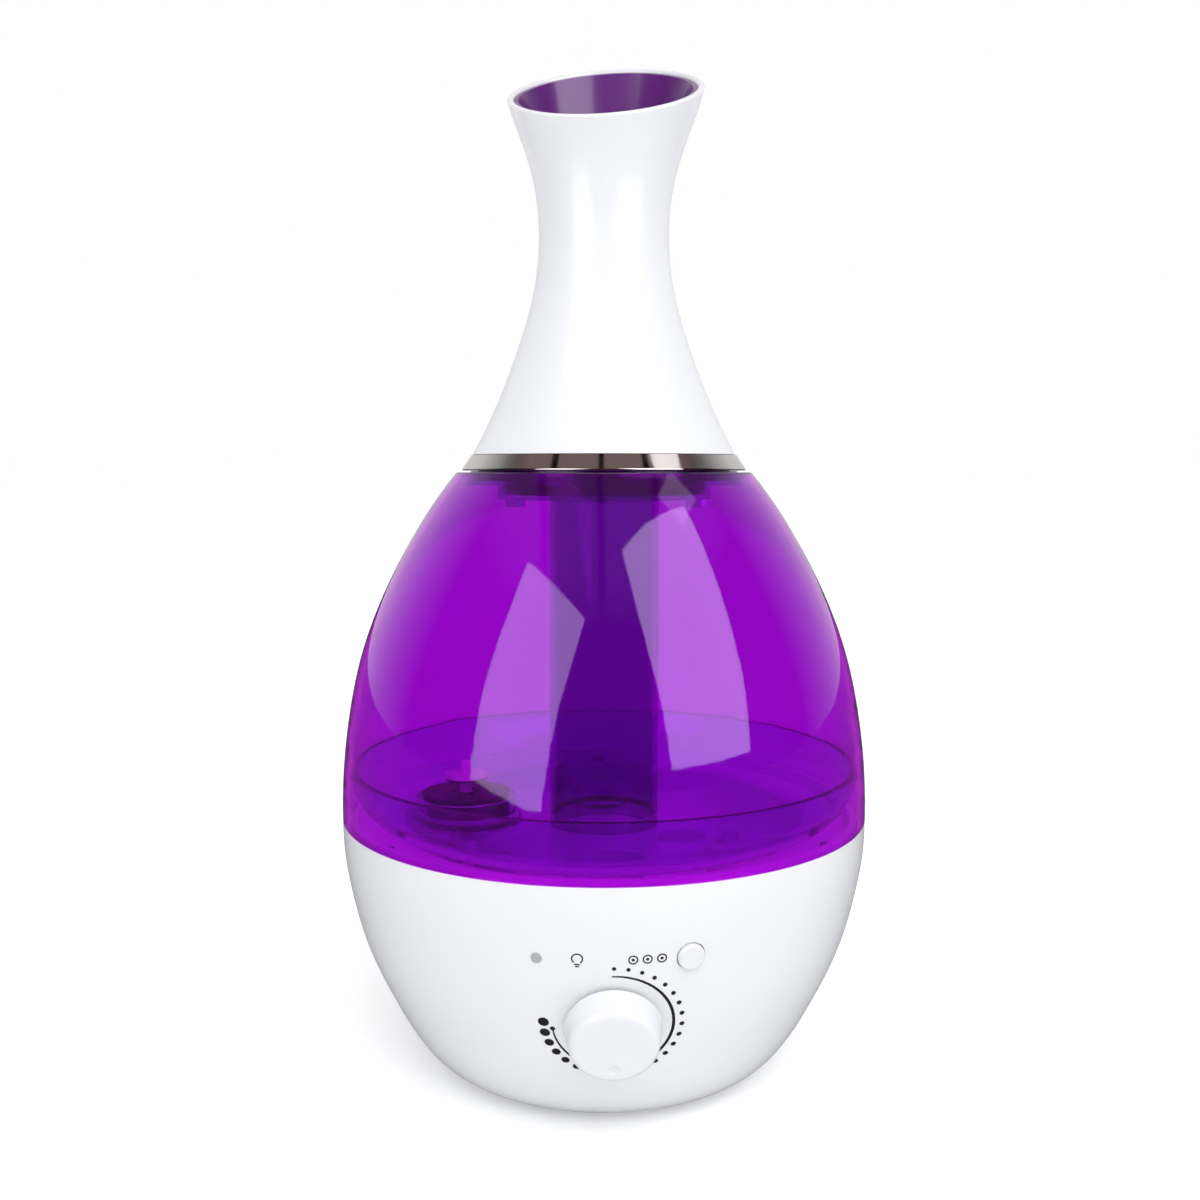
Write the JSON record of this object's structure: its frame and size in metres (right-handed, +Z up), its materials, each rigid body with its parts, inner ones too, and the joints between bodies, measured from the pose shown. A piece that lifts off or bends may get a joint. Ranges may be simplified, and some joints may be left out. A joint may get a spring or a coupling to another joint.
{
  "type": "cool mist humidifier",
  "caption": "Vase-shaped cool mist humidifier: round base with dial, tinted lift-off water tank and a turning trumpet nozzle.",
  "frame": {"origin": "centre of the plane that the rubber feet stand on", "axes": "+Z up along the tank and nozzle, control panel facing -Y"},
  "size_m": [0.1902, 0.1944, 0.3675],
  "materials": {
    "base_white": "gloss",
    "basin_white": "satin",
    "button_white": "gloss",
    "cap_dark": "satin",
    "capacitor_black": "sleeve",
    "chip_black": "moulded",
    "clear_rubber": "milky silicone",
    "copper": "enamelled copper wire",
    "cover_white": "fine texture",
    "duct_grey": "matte",
    "fan_black": "moulded",
    "filter_foam": "open foam",
    "float_white": "matte",
    "floor_purple": "clear lightly tinted, gloss",
    "foot_rubber": "matte",
    "heatsink_alu": "extruded",
    "inlet_black": "matte",
    "knob_white": "gloss",
    "led_clear": "clear",
    "lens_clear": "clear",
    "magnet": "sintered ferrite",
    "nozzle_liner": "satin",
    "nozzle_white": "gloss",
    "pcb_green": "solder mask",
    "piezo": "silvered ceramic",
    "pin_brass": "plated",
    "plate_steel": "stamped",
    "pot_metal": "pressed",
    "reed_glass": "clear",
    "screw_steel": "zinc plated",
    "seal_rubber": "soft matte",
    "seat_dark": "satin, tinted",
    "spring_steel": "drawn wire",
    "tank_purple": "clear tinted, gloss",
    "transformer_tape": "taped winding",
    "trim_chrome": "mirror-bright plated plastic",
    "tube_purple": "clear tinted, gloss",
    "valve_white": "satin"
  },
  "bodies": {
    "base": {"base_bowl": "base_white", "basin": "basin_white", "basin_seal": "seal_rubber", "basin_screws": "screw_steel", "air_duct": "duct_grey", "chimney_cap": "basin_white", "transducer_disc": "piezo", "transducer_seal": "seal_rubber", "transducer_plate": "plate_steel", "transducer_screws": "screw_steel", "float_retainer": "valve_white", "reed_switch": "reed_glass", "light_window": "lens_clear", "led_board": "pcb_green", "color_leds": "led_clear", "main_board": "pcb_green", "transformer": "transformer_tape", "capacitors": "capacitor_black", "heatsink": "heatsink_alu", "power_transistor": "chip_black", "dial_board": "pcb_green", "potentiometer": "pot_metal", "pot_nut": "screw_steel", "button_board": "pcb_green", "tact_switch": "chip_black", "indicator_board": "pcb_green", "indicator_led": "led_clear", "indicator_lens": "lens_clear", "fan_frame": "fan_black", "fan_coil": "copper", "fan_screws": "screw_steel", "bottom_cover": "cover_white", "intake_filter": "filter_foam", "rubber_feet": "foot_rubber", "bottom_screws": "screw_steel", "power_inlet": "inlet_black", "inlet_pins": "pin_brass"},
    "tank": {"tank_shell": "tank_purple", "tank_floor": "floor_purple", "mist_tube": "tube_purple", "tank_collar": "tube_purple"},
    "filler_cap": {"cap_shell": "cap_dark", "cap_gasket": "clear_rubber", "valve_spring": "spring_steel"},
    "valve": {"valve_plunger": "valve_white", "valve_seal": "seal_rubber"},
    "nozzle_seat": {"trim_ring": "trim_chrome", "seat_ring": "seat_dark", "seat_seal": "seal_rubber"},
    "nozzle": {"nozzle_shell": "nozzle_white", "nozzle_liner": "nozzle_liner", "splash_guard": "nozzle_liner"},
    "float": {"float_ring": "float_white", "float_magnet": "magnet"},
    "knob": {"knob": "knob_white", "pot_shaft": "pot_metal"},
    "light_button": {"light_button": "button_white"},
    "fan": {"fan_impeller": "fan_black", "fan_shaft": "spring_steel"}
  },
  "joints": [
    {"name": "tank_lift", "type": "slide", "parent": "base", "child": "tank", "axis": [0, 0, 1], "range_m": [0, 0.12]},
    {"name": "nozzle_lift", "type": "slide", "parent": "tank", "child": "nozzle_seat", "axis": [0, 0, 1], "range_m": [0, 0.06]},
    {"name": "nozzle_spin", "type": "hinge", "parent": "nozzle_seat", "child": "nozzle", "pos_m": [0, 0, 0.2217], "axis": [0, 0, 1], "continuous": true},
    {"name": "cap_turn", "type": "hinge", "parent": "tank", "child": "filler_cap", "pos_m": [-0.051, 0, 0.0854], "axis": [0, 0, 1], "range_deg": [0, 90]},
    {"name": "valve_slide", "type": "slide", "parent": "filler_cap", "child": "valve", "axis": [0, 0, 1], "range_m": [-0.0046, 0], "deforming": ["valve_spring"]},
    {"name": "float_slide", "type": "slide", "parent": "base", "child": "float", "axis": [0, 0, 1], "range_m": [0, 0.006]},
    {"name": "knob_turn", "type": "hinge", "parent": "base", "child": "knob", "pos_m": [0, -0.0863, 0.0451], "axis": [0, -0.9397, -0.342], "range_deg": [-90, 180]},
    {"name": "light_press", "type": "slide", "parent": "base", "child": "light_button", "axis": [-0.2493, 0.9477, 0.1994], "range_m": [0, 0.001], "stiffness_N_per_m": 1500, "springref_m": -0.0008},
    {"name": "fan_spin", "type": "hinge", "parent": "base", "child": "fan", "pos_m": [0, 0.016, 0.009], "axis": [0, 0, 1], "continuous": true}
  ],
  "couplings": [
    {"joint": "valve_slide", "follows": "tank_lift", "ratio": -0.038333}
  ]
}
